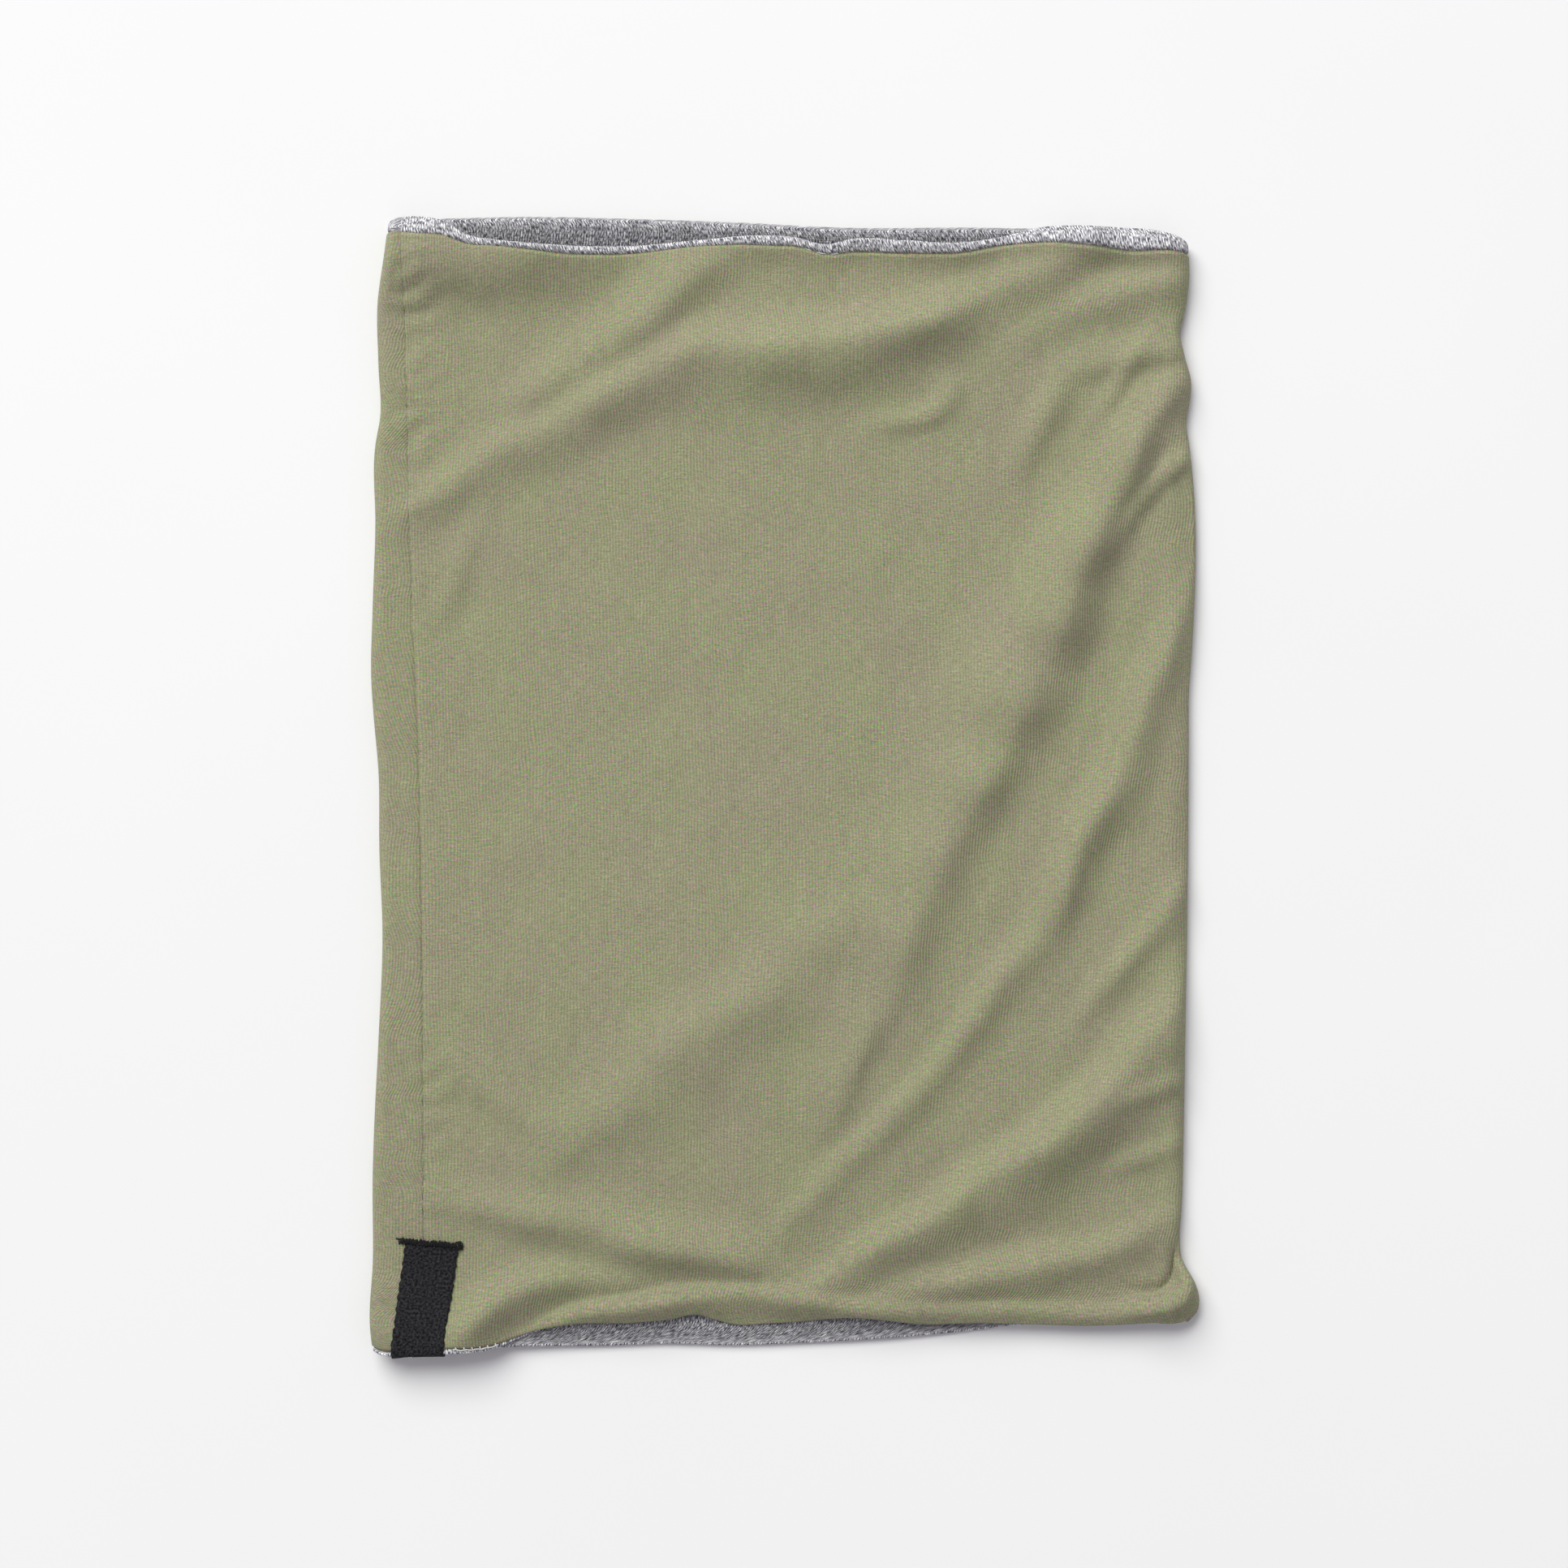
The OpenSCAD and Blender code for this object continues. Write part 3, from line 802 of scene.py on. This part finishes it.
class Shader:
    """A new material's nodes, with short calls to add and link them."""

    def __init__(self, name):
        self.material = bpy.data.materials.new(name)
        self.material.use_nodes = True
        self.tree = self.material.node_tree
        self.surface = self.tree.nodes["Principled BSDF"]

    def add(self, kind, settings=None, **inputs):
        """A node of that kind. Inputs have _ for a space, and are values or other nodes' outputs."""
        node = self.tree.nodes.new("ShaderNode" + kind)
        for key, value in (settings or {}).items():
            setattr(node, key, value)
        for key, value in inputs.items():
            self.feed(node.inputs[key.replace("_", " ")], value)
        return node

    def feed(self, socket, value):
        """Links another node's output to an input, or sets the input to a value."""
        if isinstance(value, bpy.types.NodeSocket):
            self.tree.links.new(value, socket)
        else:
            socket.default_value = value

    def math(self, operation, a, b=0.0, c=0.0):
        """The result of one operation on up to three numbers."""
        node = self.tree.nodes.new("ShaderNodeMath")
        node.operation = operation
        for socket, value in zip(node.inputs, (a, b, c)):
            self.feed(socket, value)
        return node.outputs[0]

    def blend(self, share, a, b, kind="MIX"):
        """Colour a with that share of colour b mixed in, or of a times b."""
        node = self.tree.nodes.new("ShaderNodeMix")
        node.data_type, node.blend_type = "RGBA", kind
        self.feed(node.inputs["Factor"], share)
        self.feed(node.inputs[6], a)
        self.feed(node.inputs[7], b)
        return node.outputs[2]

    def cloth_place(self):
        """(s, t) on the flat cloth, in mm."""
        uv = self.add("UVMap", {"uv_map": "cloth"}).outputs["UV"]
        parts = self.add("SeparateXYZ", Vector=uv).outputs
        return self.math("MULTIPLY", parts[0], 1000.0), self.math("MULTIPLY", parts[1], 1000.0)

    def noise(self, s, t, size_s, size_t, detail=2.0, seed=0.0):
        """Noise from 0 to 1 whose blotches are about size_s by size_t mm on the cloth."""
        x, y = self.math("DIVIDE", s, size_s), self.math("DIVIDE", t, size_t)
        place = self.add("CombineXYZ", X=x, Y=y, Z=seed)
        return self.add("TexNoise", Vector=place.outputs[0], Scale=1.0, Detail=detail).outputs["Fac"]

    def ramp(self, value, stops):
        """A colour that depends on a value, through (value, colour) stops."""
        node = self.add("ValToRGB", Fac=value)
        elements = node.color_ramp.elements
        while len(elements) < len(stops):
            elements.new(0.5)
        for element, (place, colour) in zip(elements, stops):
            element.position, element.color = place, (*colour, 1)
        return node.outputs["Color"]

    def knit(self, s, t, wale, course):
        """(height of a jersey knit from 0 to 1, how near the middle of a wale from 0 to 1). Each wale is
        a row of loops along the cloth, which lean down to both sides, one each course."""
        phase = self.math("DIVIDE", s, wale)
        from_middle = self.math("ABSOLUTE", self.math("SUBTRACT", self.math("FRACT", phase), 0.5))
        rib = self.math("COSINE", self.math("MULTIPLY", from_middle, 2 * math.pi))
        rib = self.math("MULTIPLY_ADD", rib, 0.5, 0.5)
        lean = self.math("MULTIPLY", from_middle, 1.1)
        turns = self.math("ADD", self.math("DIVIDE", t, course), lean)
        loops = self.math("SINE", self.math("MULTIPLY", turns, 2 * math.pi))
        loops = self.math("MULTIPLY_ADD", loops, 0.5, 0.5)
        height = self.math("MULTIPLY_ADD", rib, 0.7, self.math("MULTIPLY", loops, 0.3))
        return height, rib

    def finish(self, colour, height, depth, roughness, sheen):
        """The material, with that surface. depth in mm is the bump of a height of 1."""
        surface = self.surface
        self.feed(surface.inputs["Base Color"], colour)
        surface.inputs["Roughness"].default_value = roughness
        surface.inputs["Specular IOR Level"].default_value = 0.2
        surface.inputs["Sheen Weight"].default_value = sheen
        surface.inputs["Sheen Roughness"].default_value = 0.5
        bump = self.add("Bump", Height=height, Distance=depth * MM, Strength=1.0)
        self.feed(surface.inputs["Normal"], bump.outputs["Normal"])
        return self.material


def sage_knit():
    """Fine rib-faced jersey: soft green with tan and grey-green yarns, and wales with painted shade in the
    gaps between them.
    """
    m = Shader("sage_knit")
    s, t = m.cloth_place()
    # The wales wander by up to 2 mm.
    s = m.math("MULTIPLY_ADD", m.noise(s, t, 7.0, 16.0, seed=6.0), 2.0, s)
    height, rib = m.knit(s, t, wale=0.93, course=0.62)
    yarn = m.noise(s, t, 0.9, 1.3, seed=1.0)
    colour = m.ramp(yarn, [(0.32, (0.252, 0.392, 0.180)), (0.50, (0.333, 0.330, 0.235)),
                           (0.68, (0.430, 0.283, 0.310))])
    cast = m.noise(s, t, 1.1, 0.6, seed=12.0)
    cast = m.ramp(cast, [(0.36, (0.80, 0.85, 0.97)), (0.64, (1.0, 0.95, 0.57))])
    colour = m.blend(1.0, colour, cast, "MULTIPLY")
    # Wide soft patches drift to tan and to green.
    drift = m.ramp(m.noise(s, t, 24.0, 36.0, seed=4.0), [(0.35, (0, 0, 0)), (0.65, (1, 1, 1))])
    colour = m.blend(m.math("MULTIPLY", drift, 0.45), colour, (0.314, 0.282, 0.200, 1))
    bloom = m.ramp(m.noise(s, t, 17.0, 29.0, seed=9.0), [(0.45, (0, 0, 0)), (0.70, (1, 1, 1))])
    colour = m.blend(m.math("MULTIPLY", bloom, 0.35), colour, (0.300, 0.335, 0.168, 1))
    speckle = m.noise(s, t, 0.6, 0.5, detail=3.0, seed=7.0)
    streak = m.noise(s, t, 3.2, 0.45, seed=15.0)
    # Painted shade in the gaps between the wales.
    tone = m.math("MULTIPLY_ADD", rib, 0.20, 0.88)
    tone = m.math("MULTIPLY", tone, m.math("MULTIPLY_ADD", speckle, 1.10, 0.44))
    tone = m.math("MULTIPLY", tone, m.math("MULTIPLY_ADD", streak, 0.70, 0.65))
    # The cloth is a little darker over its lowest 130 mm.
    fade = m.math("MULTIPLY_ADD", m.math("MINIMUM", m.math("DIVIDE", t, 130.0), 1.0), 0.07, 0.92)
    tone = m.math("MULTIPLY", tone, fade)
    grey = m.add("CombineColor", Red=tone, Green=tone, Blue=tone).outputs[0]
    colour = m.blend(1.0, colour, grey, "MULTIPLY")
    fuzz = m.math("MULTIPLY_ADD", speckle, 0.3, height)
    return m.finish(colour, fuzz, 0.15, 0.92, 0.12)


def heather_jersey():
    """Grey heather: short upright flecks of white and charcoal yarn on mid grey."""
    m = Shader("heather_jersey")
    s, t = m.cloth_place()
    height, rib = m.knit(s, t, wale=0.82, course=0.6)
    fleck = m.noise(s, t, 0.37, 1.0, seed=2.0)
    colour = m.ramp(fleck, [(0.32, (0.040, 0.046, 0.066)), (0.43, (0.19, 0.195, 0.225)),
                            (0.53, (0.50, 0.49, 0.51)), (0.65, (0.95, 0.93, 0.94))])
    cloud = m.noise(s, t, 2.6, 7.0, detail=3.0, seed=5.0)
    # Painted shade in the gaps between the wales.
    tone = m.math("MULTIPLY_ADD", rib, 0.40, 0.62)
    tone = m.math("MULTIPLY", tone, m.math("MULTIPLY_ADD", cloud, 1.2, 0.36))
    # Painted light: the cloth is painted lighter where it is turned out over a hem and faces the light,
    # where from_fold is below 0, than in the shade inside the tube.
    from_fold = m.math("MINIMUM", t, m.math("SUBTRACT", 2 * half_length, t))
    turned_out_light = m.math("MULTIPLY_ADD", from_fold, -0.5, 1.0)
    turned_out_light = m.math("MAXIMUM", m.math("MINIMUM", turned_out_light, 1.0), 0.0)
    tone = m.math("MULTIPLY", tone, m.math("MULTIPLY_ADD", turned_out_light, 0.46, 0.82))
    grey = m.add("CombineColor", Red=tone, Green=tone, Blue=tone).outputs[0]
    colour = m.blend(1.0, colour, grey, "MULTIPLY")
    return m.finish(colour, height, 0.16, 0.9, 0.15)


def black_tape():
    """Dense black woven tape with a faint fuzzy grain."""
    m = Shader("black_tape")
    s, t = m.cloth_place()
    weft_pitch, warp_pitch = 0.42, 0.36
    weft = m.math("SINE", m.math("MULTIPLY", t, 2 * math.pi / weft_pitch))
    warp = m.math("SINE", m.math("MULTIPLY", s, 2 * math.pi / warp_pitch))
    weave = m.math("MULTIPLY_ADD", m.math("MULTIPLY", weft, warp), 0.5, 0.5)
    fuzz = m.noise(s, t, 0.7, 0.7, detail=3.0, seed=3.0)
    value = m.math("MULTIPLY_ADD", weave, 0.08, m.math("MULTIPLY", fuzz, 1.1))
    colour = m.ramp(value, [(0.47, (0.001, 0.001, 0.002)), (0.76, (0.030, 0.030, 0.034))])
    return m.finish(colour, value, 0.12, 0.85, 0.03)


def spun_thread(name, dark, light, sheen=0.2):
    """Twisted sewing thread between two colours."""
    m = Shader(name)
    place = m.add("TexCoord").outputs["Object"]
    grain = m.add("TexNoise", Vector=place, Scale=2600.0, Detail=2.0).outputs["Fac"]
    colour = m.ramp(grain, [(0.35, dark), (0.65, light)])
    return m.finish(colour, grain, 0.08, 0.7, sheen)


# ---------------------------------------------------------------- camera, light and floor


def camera():
    """Straight down over the middle, far enough for the whole lying tube and some floor all round."""
    view_width, cloth_height = 0.461, 0.008
    data = bpy.data.cameras.new("camera")
    data.lens, data.sensor_width = 85, 36
    obj = bpy.data.objects.new("camera", data)
    obj.location = (0, 0, view_width * data.lens / data.sensor_width + cloth_height)
    bpy.context.scene.collection.objects.link(obj)
    bpy.context.scene.camera = obj


def lights():
    """One wide soft light high beyond the upper hem, a little to the left, in an even pale room."""
    azimuth, elevation, distance = math.radians(118), math.radians(46), 6.0
    data = bpy.data.lights.new("key", "AREA")
    data.shape, data.size, data.energy = "DISK", 4.8, 404
    data.color = (0.985, 0.995, 0.96)
    obj = bpy.data.objects.new("key", data)
    obj.location = (distance * math.cos(elevation) * math.cos(azimuth),
                    distance * math.cos(elevation) * math.sin(azimuth), distance * math.sin(elevation))
    obj.rotation_euler = (math.pi / 2 - elevation, 0, azimuth + math.pi / 2)
    bpy.context.scene.collection.objects.link(obj)
    world = bpy.data.worlds.new("room")
    world.use_nodes = True
    world.node_tree.nodes["Background"].inputs["Color"].default_value = (1.0, 0.968, 1.04, 1)
    world.node_tree.nodes["Background"].inputs["Strength"].default_value = 0.39
    bpy.context.scene.world = world
    bpy.context.scene.view_settings.view_transform = "Standard"


def floor():
    """A wide sheet of near-white paper that the tube lies on."""
    m = Shader("floor_paper")
    place = m.add("TexCoord").outputs["Object"]
    grain = m.add("TexNoise", Vector=place, Scale=6.0, Detail=2.0).outputs["Fac"]
    colour = m.ramp(grain, [(0.3, (0.845, 0.845, 0.849)), (0.7, (0.858, 0.858, 0.862))])
    m.feed(m.surface.inputs["Base Color"], colour)
    m.surface.inputs["Roughness"].default_value = 0.9
    m.surface.inputs["Specular IOR Level"].default_value = 0.1
    half = 4.0
    corners = [(-half, -half, 0), (half, -half, 0), (half, half, 0), (-half, half, 0)]
    mesh = bpy.data.meshes.new("floor")
    mesh.from_pydata(corners, [], [(0, 1, 2, 3)])
    obj = bpy.data.objects.new("floor", mesh)
    mesh.materials.append(m.material)
    bpy.context.scene.collection.objects.link(obj)


def dress(obj, material, slot, *nodes):
    """Gives a piece its material, hangs it under the root body and hides the CAD nodes it stands for. slot
    is not used.
    """
    obj.data.materials.append(material)
    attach(obj, "root")
    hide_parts(*nodes)
    return obj


camera()
lights()
floor()

sage_thread = spun_thread("sage_thread", (0.17, 0.175, 0.105), (0.28, 0.285, 0.185))
white_thread = spun_thread("white_thread", (0.45, 0.45, 0.46), (0.70, 0.70, 0.70))
black_thread = spun_thread("black_thread", (0.004, 0.004, 0.005), (0.016, 0.016, 0.018), 0.03)

outer = dress(outer_layer(), sage_knit(), "sage_rib_knit", "outer_tube")
inner = dress(inner_layer(), heather_jersey(), "heather_jersey", "inner_tube")
dress(label(), black_tape(), "black_tape", "label")
seam = dress(seam_stitches("outer_side_stitches", 1), sage_thread, "sage_thread", "outer_side_seam_thread")
seam_in = seam_stitches("inner_side_stitches", -1)
dress(seam_in, white_thread, "pale_thread", "inner_side_seam_thread")
dress(hem_stitches("upper_hem_stitches", True), white_thread, "pale_thread", "upper_hem_thread")
dress(hem_stitches("lower_hem_stitches", False), white_thread, "pale_thread", "lower_hem_thread")
dress(closing_stitches("closing_stitches"), white_thread, "pale_thread", "hem_closing_thread")
dress(tack("label_tack_stitches"), black_thread, "black_thread", "label_needle_thread")
dress(tack_inside("label_tack_inside"), black_thread, "black_thread", "label_bobbin_thread")
